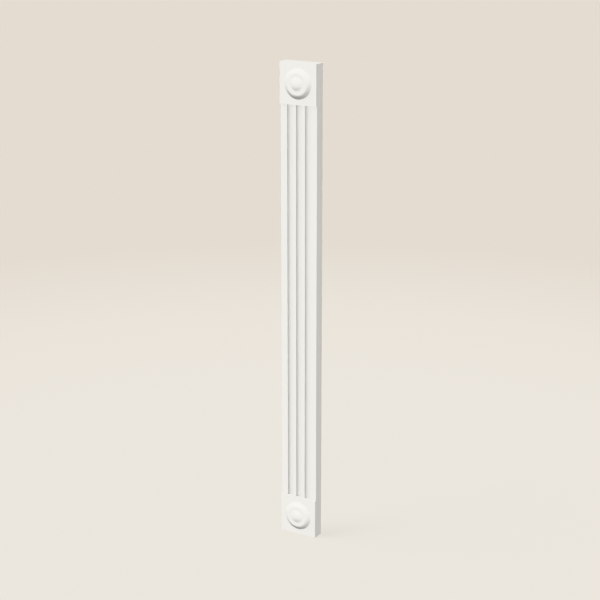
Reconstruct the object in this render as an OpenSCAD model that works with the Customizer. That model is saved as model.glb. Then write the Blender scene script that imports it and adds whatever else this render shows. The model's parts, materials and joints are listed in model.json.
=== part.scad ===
// Fluted pilaster: a flat-backed shaft butted between two square rosette blocks.
// The back lies on the plane y = 0, the front faces -Y, and the foot is at z = 0.

/* [Overall] */
// Height from the foot to the top of the head block
height = 2134; // [1200:1:3000]
// Width of the shaft and of both blocks
width = 178; // [150:1:300]

/* [Rosette blocks] */
// Height of each block
block_height = 178; // [150:1:300]
// Thickness of each block, from the wall to its flat front
block_depth = 54; // [30:1:100]
// How far the shaft's front is set back behind the blocks' front
reveal = 7; // [1:0.5:14]

/* [Flutes] */
// Number of flutes
flute_count = 3; // [1:1:4]
// Width of each half-round flute
flute_width = 28; // [10:0.5:30]
// Width of the flat fillet between two flutes
fillet_width = 16; // [3:0.5:24]

/* [Rosette] */
// Diameter of the rosette where it meets the block
rosette_diameter = 131; // [112:1:146]
// Diameter of the ring's crest
ring_diameter = 85; // [76:1:104]
// Height of the ring's crest above the block
ring_height = 12.3; // [12.1:0.1:20]
// Radius of the ring's outer shoulder, between its crest and its straight bevel
ring_shoulder = 19; // [4:0.5:24]
// Diameter of the hollow inside the ring
hollow_diameter = 74; // [70:1:75]
// Height of the hollow's floor above the block
hollow_height = 11.9; // [8:0.1:12]
// Diameter of the button where it rises from the hollow
button_diameter = 68; // [40:1:70]
// Height of the button's top above the block
button_height = 18.5; // [12.5:0.5:24]
// Share of the button's radius that is domed; the rest is a cove that sweeps out to the hollow
button_dome = 0.69; // [0.3:0.01:0.9]

/* [Hidden] */
$fn = 96;
paint = [0.94, 0.935, 0.915];
shaft_height = height - 2 * block_height;
shaft_depth = block_depth - reveal;
flute_pitch = flute_width + fillet_width;
// How deep the rosette's root is sunk into its block, of which it is part
rosette_root = 5;
// How far two curves that would only touch are lapped, so that they cross at a clean edge
lap = 0.02;

// The area under the ring's inner side, an arc that is level at the crest.
module ring_inside() {
    run = (ring_diameter - hollow_diameter) / 2;
    drop = ring_height - hollow_height;
    arc_radius = (run * run + drop * drop) / (2 * drop);
    intersection() {
        translate([ring_diameter / 2, ring_height - arc_radius]) circle(r = arc_radius);
        translate([hollow_diameter / 2, 0]) square([run, ring_height]);
    }
}

// The area under the ring's outer side: a round shoulder, then a straight bevel to the block.
module ring_outside() {
    crest_x = ring_diameter / 2;
    rim_x = rosette_diameter / 2;
    run = rim_x - crest_x;
    widest_shoulder = (run * run + ring_height * ring_height) / (2 * ring_height);
    shoulder = min(ring_shoulder, widest_shoulder);
    centre = [crest_x, ring_height - shoulder];
    to_rim = [rim_x, 0] - centre;
    touch_angle = atan2(to_rim.y, to_rim.x) + acos(shoulder / norm(to_rim));
    touch = centre + (shoulder - lap) * [cos(touch_angle), sin(touch_angle)];
    intersection() {
        translate(centre) circle(r = shoulder);
        translate([crest_x, 0]) square([run, ring_height]);
    }
    polygon([[crest_x, 0], [rim_x, 0], touch]);
}

// The area under the button: a dome that turns into a cove with the same slope.
module button_section() {
    foot_x = button_diameter / 2;
    turn_x = foot_x * button_dome;
    slope_angle = 2 * atan2(button_height - hollow_height, foot_x);
    dome_radius = turn_x / sin(slope_angle);
    cove_radius = (foot_x - turn_x + lap) / sin(slope_angle);
    turn_height = button_height - dome_radius * (1 - cos(slope_angle));
    intersection() {
        translate([0, button_height - dome_radius]) circle(r = dome_radius);
        square([foot_x, button_height]);
    }
    difference() {
        square([foot_x, turn_height]);
        translate([foot_x, hollow_height + cove_radius]) circle(r = cove_radius);
    }
}

// Half of the rosette's section, x out from its axis and y up from the block's face.
module rosette_section() {
    translate([0, -rosette_root]) square([rosette_diameter / 2, rosette_root]);
    square([hollow_diameter / 2, hollow_height]);
    ring_inside();
    ring_outside();
    button_section();
}

// A block with its rosette, standing on z = 0.
module rosette_block() {
    translate([-width / 2, -block_depth, 0])
        cube([width, block_depth, block_height]);
    translate([0, -block_depth, block_height / 2])
        rotate([90, 0, 0])
        rotate_extrude() rosette_section();
}

// The shaft's section in plan, with half-round flutes centred on its front.
module shaft_section() {
    first_flute_x = -flute_pitch * (flute_count - 1) / 2;
    difference() {
        translate([-width / 2, -shaft_depth]) square([width, shaft_depth]);
        for (i = [0 : flute_count - 1])
            translate([first_flute_x + i * flute_pitch, -shaft_depth])
                circle(d = flute_width);
    }
}

module base_block() {
    color(paint) rosette_block();
}

module fluted_shaft() {
    color(paint)
        translate([0, 0, block_height])
        linear_extrude(shaft_height) shaft_section();
}

module head_block() {
    color(paint)
        translate([0, 0, height - block_height]) rosette_block();
}

base_block();
fluted_shaft();
head_block();
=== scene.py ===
# %% [markdown]
# # A fluted pilaster between two rosette blocks
#
# A pilaster is a flat column that trims the side of a doorway. This one is a shaft with
# three half-round flutes, butted between two square blocks that each carry a turned rosette.
# It is moulded in dense foam, sprayed with white primer and fixed with its flat back to a wall.
#
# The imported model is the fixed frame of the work: every piece is placed by it, in metres, with
# the front facing -Y and the foot at z = 0.

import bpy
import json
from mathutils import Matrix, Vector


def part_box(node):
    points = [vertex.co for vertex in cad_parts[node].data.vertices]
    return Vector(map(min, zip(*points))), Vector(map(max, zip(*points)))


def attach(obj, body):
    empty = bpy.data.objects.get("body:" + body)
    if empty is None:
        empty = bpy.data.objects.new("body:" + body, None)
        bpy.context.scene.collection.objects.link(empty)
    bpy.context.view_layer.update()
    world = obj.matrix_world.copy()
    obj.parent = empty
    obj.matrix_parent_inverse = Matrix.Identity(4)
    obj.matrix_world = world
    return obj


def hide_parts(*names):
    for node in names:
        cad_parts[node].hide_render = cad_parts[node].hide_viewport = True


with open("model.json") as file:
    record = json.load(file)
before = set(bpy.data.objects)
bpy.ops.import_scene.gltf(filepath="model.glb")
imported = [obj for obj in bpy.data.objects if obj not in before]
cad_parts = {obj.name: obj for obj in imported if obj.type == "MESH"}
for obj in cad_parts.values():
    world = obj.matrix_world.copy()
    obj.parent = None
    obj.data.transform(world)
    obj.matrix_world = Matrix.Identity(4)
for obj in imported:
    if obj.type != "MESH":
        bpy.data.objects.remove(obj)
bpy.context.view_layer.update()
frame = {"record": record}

# %% [markdown]
# ## The main sizes
#
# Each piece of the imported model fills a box, and the boxes give every size that two pieces
# share: the width, the shaft's front and the levels of the joints. The foot mount lies midway
# through the block's thickness, so twice its offset is the block's front. The sizes could be
# typed in again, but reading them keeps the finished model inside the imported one. A box says
# nothing of what lies within it, so the sizes of the rosette and the flutes are typed in where
# they are used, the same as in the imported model.

# %% Read the main sizes from the frame
import json
import math

import bmesh
import bpy
from mathutils import Vector

MM = 0.001
shaft_low, shaft_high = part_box("fluted_shaft")
mount_place = {mount["name"]: mount["pos_m"] for mount in frame["record"]["mounts"]}
half_width = shaft_high.x
shaft_front = shaft_low.y
block_front = 2 * mount_place["foot"][1]
print("half width", round(half_width, 4), "shaft front", round(shaft_front, 4),
      "block front", round(block_front, 4))

# %% [markdown]
# ## How a moulded edge is made
#
# A mould can't hold a knife edge, so every corner of the real thing is eased by about a
# millimetre, and a hollow corner fills with a little primer. The corners could be rounded by
# hand, point by point. It is easier to model them sharp, give each edge a weight that says how
# much it is eased, and let one Bevel modifier do the rounding. Its hardened normals keep the
# broad flats looking flat.

# %% A helper that eases weighted edges
EASING = 1.2 * MM
EASING_STEPS = 4
FREE_ARRIS = 0.6
FLUTE_LIP = 0.35
BUTT_EDGE = 0.3
RIM_CREASE = 0.4
WEIGHT_LAYER = "bevel_weight_edge"


def new_mesh():
    """An empty bmesh whose edges can be weighed."""
    mesh = bmesh.new()
    mesh.edges.layers.float.new(WEIGHT_LAYER)
    return mesh


def weigh(mesh, edges, weight):
    """Marks edges to be eased by a share of EASING."""
    layer = mesh.edges.layers.float[WEIGHT_LAYER]
    for edge in edges:
        edge[layer] = weight


def finished_piece(name, mesh):
    """Turns a bmesh into an object whose weighted edges are eased."""
    bmesh.ops.recalc_face_normals(mesh, faces=mesh.faces)
    data = bpy.data.meshes.new(name)
    mesh.to_mesh(data)
    mesh.free()
    data.shade_smooth()
    piece = bpy.data.objects.new(name, data)
    bpy.context.scene.collection.objects.link(piece)
    bevel = piece.modifiers.new("eased edges", "BEVEL")
    bevel.limit_method = "WEIGHT"
    bevel.offset_type = "OFFSET"
    bevel.width = EASING
    bevel.segments = EASING_STEPS
    bevel.harden_normals = True
    return piece


print("free edges are eased by", round(FREE_ARRIS * EASING / MM, 2), "mm")

# %% [markdown]
# ## The rosette's profile
#
# A turned rosette is one outline spun about an axis: a domed button that sweeps out through a
# cove, a shallow hollow, and a ring with a round shoulder and a straight bevel down to the
# block. The outline could be drawn freehand as a curve. A turner works with compass arcs and
# straights that run into one another with no kink, and arcs stay exact, so it is built so.

# %% Draw the profile from the centre out to the rim
RIM_RADIUS = 65.5 * MM
RING_RADIUS = 42.5 * MM
RING_HEIGHT = 12.3 * MM
SHOULDER = 19 * MM
HOLLOW_RADIUS = 37 * MM
HOLLOW_HEIGHT = 11.9 * MM
BUTTON_RADIUS = 34 * MM
BUTTON_HEIGHT = 18.5 * MM
BUTTON_DOME = 0.69
DOME_STEPS = 14
COVE_STEPS = 8
RING_STEPS = 4
SHOULDER_STEPS = 10
BEVEL_STEPS = 4
UPRIGHT = math.pi / 2


def arc(centre, radius, start, end, steps):
    """Points on an arc, its angles in radians from the outward direction."""
    angles = [start + (end - start) * step / steps for step in range(steps + 1)]
    return [(centre[0] + radius * math.cos(a), centre[1] + radius * math.sin(a)) for a in angles]


def button_outline():
    """A dome that turns into a cove with the same slope."""
    slope = 2 * math.atan((BUTTON_HEIGHT - HOLLOW_HEIGHT) / BUTTON_RADIUS)
    dome = BUTTON_RADIUS * BUTTON_DOME / math.sin(slope)
    cove = BUTTON_RADIUS * (1 - BUTTON_DOME) / math.sin(slope)
    top = arc((0, BUTTON_HEIGHT - dome), dome, UPRIGHT, UPRIGHT - slope, DOME_STEPS)
    foot_centre = (BUTTON_RADIUS, HOLLOW_HEIGHT + cove)
    foot = arc(foot_centre, cove, -UPRIGHT - slope, -UPRIGHT, COVE_STEPS)
    return top + foot[1:]


def ring_inside():
    """A low arc from the hollow's edge up to the ring's crest, where it is level."""
    run = RING_RADIUS - HOLLOW_RADIUS
    rise = RING_HEIGHT - HOLLOW_HEIGHT
    radius = (run * run + rise * rise) / (2 * rise)
    lean = math.asin(run / radius)
    centre = (RING_RADIUS, RING_HEIGHT - radius)
    return arc(centre, radius, UPRIGHT + lean, UPRIGHT, RING_STEPS)


def ring_outside():
    """A round shoulder from the crest, then a straight bevel that leaves it smoothly."""
    centre = (RING_RADIUS, RING_HEIGHT - SHOULDER)
    run = RIM_RADIUS - centre[0]
    fall = -centre[1]
    touch = math.atan2(fall, run) + math.acos(SHOULDER / math.hypot(run, fall))
    shoulder = arc(centre, SHOULDER, UPRIGHT, touch, SHOULDER_STEPS)
    low = shoulder[-1]
    shares = [(step + 1) / BEVEL_STEPS for step in range(BEVEL_STEPS)]
    bevel = [(low[0] + (RIM_RADIUS - low[0]) * share, low[1] * (1 - share)) for share in shares]
    return shoulder + bevel


def rosette_profile():
    """The rosette's points (radius, height) from its centre to the block's face."""
    return button_outline() + ring_inside() + ring_outside()[1:]


profile = rosette_profile()
print("rosette profile has", len(profile), "points and is", max(h for r, h in profile), "m high")

# %% [markdown]
# ## A block with its rosette
#
# The rosette is part of its block, so the two are one closed mesh. The profile is spun into
# rings of points; four flat faces then join the last ring to the block's square edge, and the
# sides and back close it. This keeps the front truly flat, with no seam round the rosette.

# %% Build one block
SPINDLE_STEPS = 256
SAME_LEVEL = 0.1 * MM


def ring_of_points(mesh, radius, height, centre_z):
    """A circle of points round the rosette's axis, height in front of the block's face."""
    angles = [2 * math.pi * step / SPINDLE_STEPS for step in range(SPINDLE_STEPS)]
    return [mesh.verts.new((radius * math.cos(a), block_front - height,
                            centre_z + radius * math.sin(a))) for a in angles]


def edges_round(points):
    """The edges that join a ring of points."""
    pairs = zip(points, points[1:] + points[:1])
    return [next(e for e in a.link_edges if e.other_vert(a) is b) for a, b in pairs]


def spin_profile(mesh, centre_z):
    """Spins the rosette's profile and returns its outermost ring of points."""
    tip = mesh.verts.new((0, block_front - profile[0][1], centre_z))
    rings = [ring_of_points(mesh, radius, height, centre_z) for radius, height in profile[1:]]
    for i in range(SPINDLE_STEPS):
        after = (i + 1) % SPINDLE_STEPS
        mesh.faces.new((tip, rings[0][i], rings[0][after]))
        for inner, outer in zip(rings, rings[1:]):
            mesh.faces.new((inner[i], outer[i], outer[after], inner[after]))
    weigh(mesh, edges_round(rings[-1]), RIM_CREASE)
    return rings[-1]


def block(name, low_z, high_z, joint_z):
    """A square block with a rosette; joint_z is the level where it meets the shaft."""
    mesh = new_mesh()
    foot_ring = spin_profile(mesh, (low_z + high_z) / 2)
    square = [(half_width, high_z), (-half_width, high_z),
              (-half_width, low_z), (half_width, low_z)]
    front = [mesh.verts.new((x, block_front, z)) for x, z in square]
    back = [mesh.verts.new((x, 0, z)) for x, z in square]
    quarter = SPINDLE_STEPS // 4
    for side in range(4):
        near, far = side, (side + 1) % 4
        first = quarter // 2 + side * quarter
        facing = [foot_ring[(first + step) % SPINDLE_STEPS] for step in range(quarter + 1)]
        mesh.faces.new([front[near], front[far]] + facing[::-1])
        mesh.faces.new((front[near], back[near], back[far], front[far]))
    mesh.faces.new(back)
    arrises = set(edges_round(front) + edges_round(back))
    arrises |= {e for v in front for e in v.link_edges if e.other_vert(v) in back}
    at_joint = {e for e in arrises if all(abs(v.co.z - joint_z) < SAME_LEVEL for v in e.verts)}
    weigh(mesh, arrises - at_joint, FREE_ARRIS)
    weigh(mesh, at_joint, BUTT_EDGE)
    return finished_piece(name, mesh)


base_low, base_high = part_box("base_block")
head_low, head_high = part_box("head_block")
base_block = block("base_rosette_block", base_low.z, base_high.z, base_high.z)
head_block = block("head_rosette_block", head_low.z, head_high.z, head_low.z)
print("blocks made with", len(base_block.data.polygons), "faces each before easing")

# %% [markdown]
# ## The fluted shaft
#
# The shaft is one outline in plan, pushed up from block to block. The flutes are half rounds
# cut into its front: a cove cutter runs the whole length, so they end square against the
# blocks. The outline is made of the cutter's own arcs, which keeps the lips crisp and true.

# %% Build the shaft
FLUTE_COUNT = 3
FLUTE_RADIUS = 14 * MM
FLUTE_PITCH = 44 * MM
FLUTE_STEPS = 32
SHAFT_LEVELS = 16


def shaft_outline():
    """The shaft's plan, anticlockwise from above, and each corner's easing."""
    points = [(-half_width, 0), (-half_width, shaft_front)]
    weights = [BUTT_EDGE, FREE_ARRIS]
    for flute in range(FLUTE_COUNT):
        centre_x = FLUTE_PITCH * (flute - (FLUTE_COUNT - 1) / 2)
        turns = [math.pi * step / FLUTE_STEPS for step in range(FLUTE_STEPS + 1)]
        points += [(centre_x - FLUTE_RADIUS * math.cos(turn),
                    shaft_front + FLUTE_RADIUS * math.sin(turn)) for turn in turns]
        weights += [FLUTE_LIP] + [0] * (FLUTE_STEPS - 1) + [FLUTE_LIP]
    points += [(half_width, shaft_front), (half_width, 0)]
    weights += [FREE_ARRIS, BUTT_EDGE]
    return points, weights


def shaft(name, low_z, high_z):
    """The fluted shaft between two levels."""
    mesh = new_mesh()
    outline, weights = shaft_outline()
    heights = [low_z + (high_z - low_z) * level / SHAFT_LEVELS for level in range(SHAFT_LEVELS + 1)]
    levels = [[mesh.verts.new((x, y, z)) for x, y in outline] for z in heights]
    count = len(outline)
    for lower, upper in zip(levels, levels[1:]):
        for i in range(count):
            after = (i + 1) % count
            mesh.faces.new((lower[i], lower[after], upper[after], upper[i]))
        for i, weight in enumerate(weights):
            upright = [e for e in lower[i].link_edges if e.other_vert(lower[i]) is upper[i]]
            weigh(mesh, upright, weight)
    for end in (levels[0], levels[-1]):
        mesh.faces.new(end)
        weigh(mesh, edges_round(end), BUTT_EDGE)
    return finished_piece(name, mesh)


fluted_shaft = shaft("fluted_shaft_moulding", shaft_low.z, shaft_high.z)
print("shaft made with", len(fluted_shaft.data.polygons), "faces before easing")

# %% [markdown]
# ## Taking the places of the imported pieces
#
# The imported solids are exact but bare. Each finished piece now stands for one of them, which is
# hidden. Nothing on a pilaster moves, so all three ride on the one body, the root.

# %% Let the pieces stand for the imported nodes
standing_for = {"base_block": base_block, "fluted_shaft": fluted_shaft, "head_block": head_block}
for node, piece in standing_for.items():
    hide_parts(node)
    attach(piece, "root")
    print(piece.name, "stands for", node)

# %% [markdown]
# ## Sums with shader sockets
#
# A finish is a small set of sums on noise. Each sum could be wired by hand, node by node, but
# that hides what it says. So a Link wraps one output socket, and Python's own operators add the
# Math nodes.

# %% A socket that can be used in sums
class Link:
    """One output socket of a tree of nodes, which can be added, subtracted and multiplied."""

    def __init__(self, nodes, socket):
        self.nodes = nodes
        self.socket = socket

    def sum(self, operation, first, second):
        """Adds a Math node and returns its result."""
        return self.nodes.node("ShaderNodeMath", {"operation": operation}, {0: first, 1: second})

    def __add__(self, other):
        return self.sum("ADD", self, other)

    def __radd__(self, other):
        return self.sum("ADD", other, self)

    def __sub__(self, other):
        return self.sum("SUBTRACT", self, other)

    def __rsub__(self, other):
        return self.sum("SUBTRACT", other, self)

    def __mul__(self, other):
        return self.sum("MULTIPLY", self, other)

    def __rmul__(self, other):
        return self.sum("MULTIPLY", other, self)


print("sockets can now be added, subtracted and multiplied")

# %% [markdown]
# ## One way to add a node
#
# Adding a node takes the same few steps each time: make it, choose its settings, fill its
# inputs and pick an output. They could be written out for every node, but one method keeps the
# order right, because some settings change which inputs there are. A socket goes by its name
# where that is enough. Math nodes give all their inputs the same name, and a Mix node repeats
# its names for each kind of value that it mixes, so theirs go by number.

# %% Trees of nodes, and the finish of a surface
MIX_FIRST = 6
MIX_SECOND = 7
MIX_RESULT = 2


class Nodes:
    """A tree of nodes that can be written as sums."""

    def __init__(self, tree):
        self.tree = tree

    def set(self, node, sockets):
        """Gives each named or numbered input a value, or a link if it is one."""
        for key, value in sockets.items():
            if isinstance(value, Link):
                self.tree.links.new(value.socket, node.inputs[key])
            else:
                node.inputs[key].default_value = value

    def node(self, kind, settings=None, sockets=None, output=0):
        """Adds a node: its settings come first, then its inputs. Returns the output asked for."""
        made = self.tree.nodes.new(kind)
        for key, value in (settings or {}).items():
            setattr(made, key, value)
        self.set(made, sockets or {})
        return Link(self, made.outputs[output])

    def noise(self, where, scale, detail):
        """Smooth random values from 0 to 1, with scale blotches to the metre."""
        return self.node("ShaderNodeTexNoise", {"noise_dimensions": "3D"},
                         {"Vector": where, "Scale": scale, "Detail": detail})

    def mix(self, share, first, second):
        """A colour between two, by share."""
        sockets = {"Factor": share, MIX_FIRST: first, MIX_SECOND: second}
        return self.node("ShaderNodeMix", {"data_type": "RGBA"}, sockets, MIX_RESULT)

    def place(self):
        """Where a point lies on the object, in metres."""
        return self.node("ShaderNodeTexCoord", output="Object")

    def bump(self, height, distance, normal=None):
        """The normal of a surface that is raised by height times distance, in metres."""
        sockets = {"Height": height, "Distance": distance, "Strength": 1.0}
        if normal:
            sockets["Normal"] = normal
        return self.node("ShaderNodeBump", None, sockets)


class Finish(Nodes):
    """A material and the nodes in it."""

    def __init__(self, name):
        self.material = bpy.data.materials.new(name)
        self.material.use_nodes = True
        super().__init__(self.material.node_tree)
        self.surface = self.tree.nodes["Principled BSDF"]


print("a Mix node has its two colours at", MIX_FIRST, "and", MIX_SECOND)

# %% [markdown]
# ## Bare foam on the back
#
# The flat back is sanded level after moulding and left bare: it shows the cream foam, the
# belt's long fine streaks and the small bubbles it has opened, and the primer only feathers
# round its edges. The back could have a material of its own, but then the two would meet in a
# hard line. A share that grows over the last few millimetres of depth gives the feathered edge
# for nothing. The streaks are noise squeezed along the length and darken the foam's own tone.
# The bubbles are round cells, dented and painted darker inside: painted shade in the pits.

# %% Mix the bare foam of the back
FOAM_CREAM = (0.82, 0.78, 0.69, 1.0)
# The dark foam colour serves both the streaks' own tone and the painted shade in the pits.
FOAM_STREAK_TONE_AND_PIT_SHADE = (0.60, 0.56, 0.47, 1.0)
FEATHER = 3 * MM
RAGGED_BY = 2 * MM
STREAKS_TO_THE_METRE = 450
STREAK_DETAIL = 2.0
STREAK_SQUEEZE = (1.0, 1.0, 0.015)
BUBBLES_TO_THE_METRE = 240.0
BUBBLE_EDGE = 0.22


def bare_share(finish, where, clouds):
    """How bare the foam is: none in front of the feathered edge, all on the back."""
    depth = finish.node("ShaderNodeSeparateXYZ", None, {"Vector": where}, "Y")
    ragged = depth + RAGGED_BY * (clouds - 0.5)
    return finish.node("ShaderNodeMapRange", {"interpolation_type": "SMOOTHSTEP"},
                       {"Value": ragged, "From Min": -FEATHER, "From Max": 0.0})


def sanding_streaks(finish, where):
    """Fine streaks drawn out along the length by the sanding belt."""
    squeezed = finish.node("ShaderNodeVectorMath", {"operation": "MULTIPLY"},
                           {0: where, 1: STREAK_SQUEEZE})
    return finish.noise(squeezed, STREAKS_TO_THE_METRE, STREAK_DETAIL)


def open_bubbles(finish, where):
    """Small round pits, 1 in the middle of each and 0 outside; dented and painted with shade."""
    reach = finish.node("ShaderNodeTexVoronoi", None,
                        {"Vector": where, "Scale": BUBBLES_TO_THE_METRE})
    return finish.node("ShaderNodeMapRange", None,
                       {"Value": reach, "From Min": BUBBLE_EDGE, "From Max": 0.0})


print("primer feathers out over", round(FEATHER / MM, 1), "mm round the back")

# %% [markdown]
# ## White primer over moulded foam
#
# Sprayed primer dries to a soft sheen with a faint orange peel, pits of about a millimetre and
# a half, over a casting that is never perfectly flat. A picture of paint could be wrapped round
# the work, but it would stretch on the rosettes. Two sizes of noise give the peel and the
# unevenness alike on every side. The colour stays almost even, because the real thing is new
# and clean.

# %% Mix the primer and lay it over the foam
PRIMER_WHITE = (0.85, 0.84, 0.80, 1.0)
PRIMER_THIN = (0.82, 0.805, 0.76, 1.0)
CLOUDS_TO_THE_METRE = 9
CLOUD_DETAIL = 3.0
PEEL_TO_THE_METRE = 650
PEEL_DETAIL = 2.0
CASTING_TO_THE_METRE = 14
CASTING_DETAIL = 1.0
CLOUD_THINNING = 0.5
PEEL_THINNING = 0.25
STREAK_SHADE = 0.5
# How far the pits are painted towards the dark foam colour: painted shade.
PAINTED_PIT_SHADE = 0.8
PRIMER_ROUGHNESS = 0.46
CLOUD_ROUGHNESS = 0.12
PEEL_ROUGHNESS = 0.06
BARE_ROUGHNESS = 0.25
PRIMER_IOR = 1.46
# Heights of the grain, in millimetres
PEEL_HEIGHT = 0.05
STREAK_HEIGHT = 0.08
BUBBLE_DEPTH = 0.3
CASTING_HEIGHT = 0.12


def moulding_finish():
    """White primer on every face that shows, and bare foam on the back."""
    finish = Finish("white primer on moulded foam")
    where = finish.place()
    clouds = finish.noise(where, CLOUDS_TO_THE_METRE, CLOUD_DETAIL)
    peel = finish.noise(where, PEEL_TO_THE_METRE, PEEL_DETAIL)
    casting = finish.noise(where, CASTING_TO_THE_METRE, CASTING_DETAIL)
    bare = bare_share(finish, where, clouds)
    streaks = sanding_streaks(finish, where)
    bubbles = open_bubbles(finish, where)
    thinning = CLOUD_THINNING * clouds + PEEL_THINNING * peel
    coat = finish.mix(thinning, PRIMER_WHITE, PRIMER_THIN)
    # The streaks darken the foam's own tone; the pits are painted darker as painted shade.
    streak_tone_and_pit_shade = STREAK_SHADE * streaks + PAINTED_PIT_SHADE * bubbles
    foam = finish.mix(streak_tone_and_pit_shade, FOAM_CREAM, FOAM_STREAK_TONE_AND_PIT_SHADE)
    coat_grain = PEEL_HEIGHT * peel * (1 - bare)
    foam_grain = (STREAK_HEIGHT * streaks - BUBBLE_DEPTH * bubbles) * bare
    roughness = PRIMER_ROUGHNESS + CLOUD_ROUGHNESS * clouds + PEEL_ROUGHNESS * peel
    unevenness = finish.bump(casting, CASTING_HEIGHT * MM)
    finish.set(finish.surface, {
        "Base Color": finish.mix(bare, coat, foam),
        "Roughness": roughness + BARE_ROUGHNESS * bare,
        "IOR": PRIMER_IOR,
        "Normal": finish.bump(coat_grain + foam_grain, MM, unevenness),
    })
    return finish.material


primed_foam = moulding_finish()
for piece in standing_for.values():
    piece.data.materials.append(primed_foam)
print("primer and foam take", len(primed_foam.node_tree.nodes), "nodes")

# %% [markdown]
# ## Floor
#
# The studio floor is a pale matt sheet that glows with painted light, which is why the work throws
# almost no shadow on it. Most of its brightness is this painted glow, and the rest is the room's
# light, which the work can block. ROOM_LIGHT is how brightly that light falls on the floor, so the
# glow makes up what is missing from the floor's colour. The floor could be plain white paint, but
# then its colour would change with every lamp. Its colour and glow are painted brightest round
# the work, a painted pool of light, and fade to the colour of the backdrop, so that the line where
# they meet hardly shows. It sends no light back on the work, neither soft nor mirrored, so the
# undersides of the rosettes keep their shade.

# %% Lay the floor
FLOOR_RADIUS = 60.0
FLOOR_SIDES = 128
# FLOOR_NEAR is painted brighter than FLOOR_FAR: a painted pool of light round the work.
FLOOR_NEAR = Vector((0.912, 0.866, 0.792))
FLOOR_FAR = Vector((0.816, 0.753, 0.679))
BRIGHT_RADIUS = 2.0
FADED_RADIUS = 5.2
REFLECTED_SHARE = 0.3
ROOM_LIGHT = 1.25
GLOW_SHARE = 1 - REFLECTED_SHARE * ROOM_LIGHT


def opaque(colour):
    """A colour as a node wants it, with its alpha."""
    return (*colour, 1.0)


def floor_finish():
    """Pale floor with painted light: brightest round the work, fading to the backdrop's colour."""
    finish = Finish("pale floor")
    reach = finish.node("ShaderNodeVectorMath", {"operation": "LENGTH"},
                        {0: finish.place()}, "Value")
    fade = finish.node("ShaderNodeMapRange", None,
                       {"Value": reach, "From Min": BRIGHT_RADIUS, "From Max": FADED_RADIUS})
    near, far = [opaque(colour * REFLECTED_SHARE) for colour in (FLOOR_NEAR, FLOOR_FAR)]
    near_glow, far_glow = [opaque(colour * GLOW_SHARE) for colour in (FLOOR_NEAR, FLOOR_FAR)]
    finish.set(finish.surface, {
        "Base Color": finish.mix(fade, near, far),
        "Emission Color": finish.mix(fade, near_glow, far_glow),
        "Emission Strength": 1.0,
        "Roughness": 1.0,
        "Specular IOR Level": 0.0,
    })
    return finish.material


def lay_floor():
    """A wide disc at the level of the foot."""
    mesh = bmesh.new()
    bmesh.ops.create_circle(mesh, cap_ends=True, segments=FLOOR_SIDES, radius=FLOOR_RADIUS)
    data = bpy.data.meshes.new("floor")
    mesh.to_mesh(data)
    mesh.free()
    data.materials.append(floor_finish())
    floor = bpy.data.objects.new("floor", data)
    bpy.context.scene.collection.objects.link(floor)
    floor.visible_diffuse = False
    floor.visible_glossy = False
    return floor


floor = lay_floor()
print(floor.name, "glows with", round(GLOW_SHARE, 3), "of its own colour")

# %% [markdown]
# ## Camera
#
# The camera stands to the right of the work and well above its middle, so that the front, the
# right side and the ledge on top of the base block all show. A long lens from far off keeps
# the uprights nearly parallel. Its place could be three bare coordinates, but an angle round
# the work, a distance and a height are easier to picture and to change. The neutral tone curve
# leaves pale colours as they are mixed and only softens the very brightest.

# %% Set the camera
CAMERA_AZIMUTH = math.radians(31.5)
CAMERA_DISTANCE = 6.409
CAMERA_HEIGHT = 3.024
AIM_HEIGHT = 1.107
AIM_SIDE = 0.009
LENS = 92.6
FARTHEST_SEEN = 200


def set_camera():
    """Stands the camera to the right of the work, above it, and aims it at the middle."""
    data = bpy.data.cameras.new("camera")
    data.lens = LENS
    data.clip_end = FARTHEST_SEEN
    camera = bpy.data.objects.new("camera", data)
    bpy.context.scene.collection.objects.link(camera)
    sideways = Vector((math.cos(CAMERA_AZIMUTH), math.sin(CAMERA_AZIMUTH), 0))
    towards = Vector((math.sin(CAMERA_AZIMUTH), -math.cos(CAMERA_AZIMUTH), 0))
    face_foot = Vector((0, block_front, 0))
    camera.location = face_foot + CAMERA_DISTANCE * towards + Vector((0, 0, CAMERA_HEIGHT))
    aim = face_foot + AIM_SIDE * sideways + Vector((0, 0, AIM_HEIGHT))
    camera.rotation_mode = "QUATERNION"
    camera.rotation_quaternion = (aim - camera.location).to_track_quat("-Z", "Y")
    bpy.context.scene.camera = camera
    return camera


camera = set_camera()
bpy.context.scene.view_settings.view_transform = "Khronos PBR Neutral"
print("camera stands", [round(v, 3) for v in camera.location])

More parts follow.
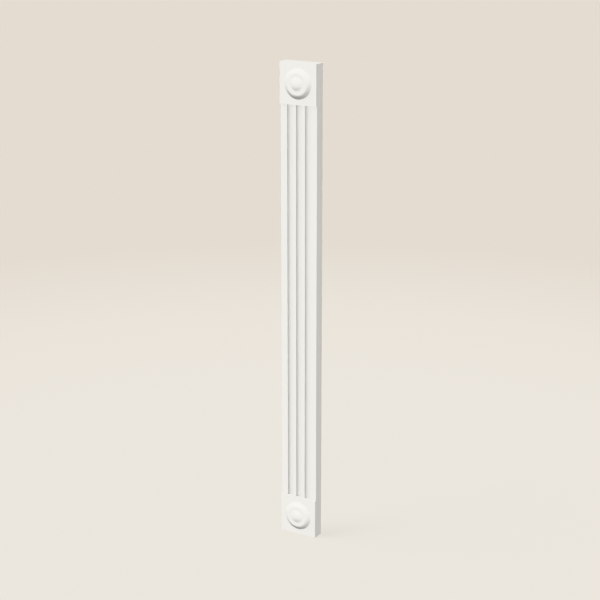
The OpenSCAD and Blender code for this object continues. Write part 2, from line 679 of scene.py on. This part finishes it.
# %% [markdown]
# ## Light
#
# White work needs light that shapes it and burns nothing out. Area lamps could be hung round
# it, but broad suns shine alike on a foot and a head two metres apart. The key comes from the
# front left. A weaker light from the front right shows the depth of the side and of each
# flute. Neither casts a shadow, so the step under the head block stays clean; the sun high on
# the left casts the faint shadow on the floor. A low sun lifts the right side, and a narrow low
# one behind lights the back but not the sides. Two white walls that face each other, as in a
# flute, pass light to and fro until the shade is gone, so no sun is let bounce.

# %% Light the studio
def sun(name, azimuth, elevation, strength, spread, shadow):
    """An even light from a direction in degrees: azimuth 0 is in front, 90 to the right."""
    data = bpy.data.lights.new(name, "SUN")
    data.energy = strength
    data.angle = math.radians(spread)
    data.use_shadow = shadow
    data.cycles.max_bounces = 0
    lamp = bpy.data.objects.new(name, data)
    bpy.context.scene.collection.objects.link(lamp)
    turn = math.radians(azimuth)
    rise = math.radians(elevation)
    level = math.cos(rise)
    to_lamp = Vector((math.sin(turn) * level, -math.cos(turn) * level, math.sin(rise)))
    lamp.rotation_mode = "QUATERNION"
    lamp.rotation_quaternion = to_lamp.to_track_quat("Z", "Y")
    return lamp


lamps = [
    sun("key", azimuth=-30, elevation=35, strength=3.04, spread=30, shadow=False),
    sun("front right fill", azimuth=60, elevation=20, strength=1.86, spread=30, shadow=False),
    sun("high left", azimuth=-58, elevation=50, strength=1.46, spread=40, shadow=True),
    sun("right fill", azimuth=90, elevation=5, strength=0.54, spread=30, shadow=True),
    sun("back fill", azimuth=180, elevation=5, strength=2.3, spread=4, shadow=False),
]
print("suns:", ", ".join(lamp.name for lamp in lamps))

# %% [markdown]
# ## Backdrop
#
# A real backdrop would be a pale wall, and it would also light the work, warm the shades and
# fill the flutes. Here the camera alone sees the pale colour, and every other ray sees a dim
# neutral room. That dim light comes from all sides at once, so corners, which see less of the
# room, turn out a little darker.

# %% Hang the backdrop
AMBIENT = (0.1, 0.1, 0.1, 1.0)


def studio_world():
    """A backdrop that the camera sees bright and the work sees dim."""
    world = bpy.data.worlds.new("studio")
    world.use_nodes = True
    world.cycles.max_bounces = 0
    nodes = Nodes(world.node_tree)
    seen = nodes.node("ShaderNodeLightPath", output="Is Camera Ray")
    colour = nodes.mix(seen, AMBIENT, opaque(FLOOR_FAR))
    nodes.set(world.node_tree.nodes["Background"], {"Color": colour})
    return world


bpy.context.scene.world = studio_world()
print("backdrop hung")
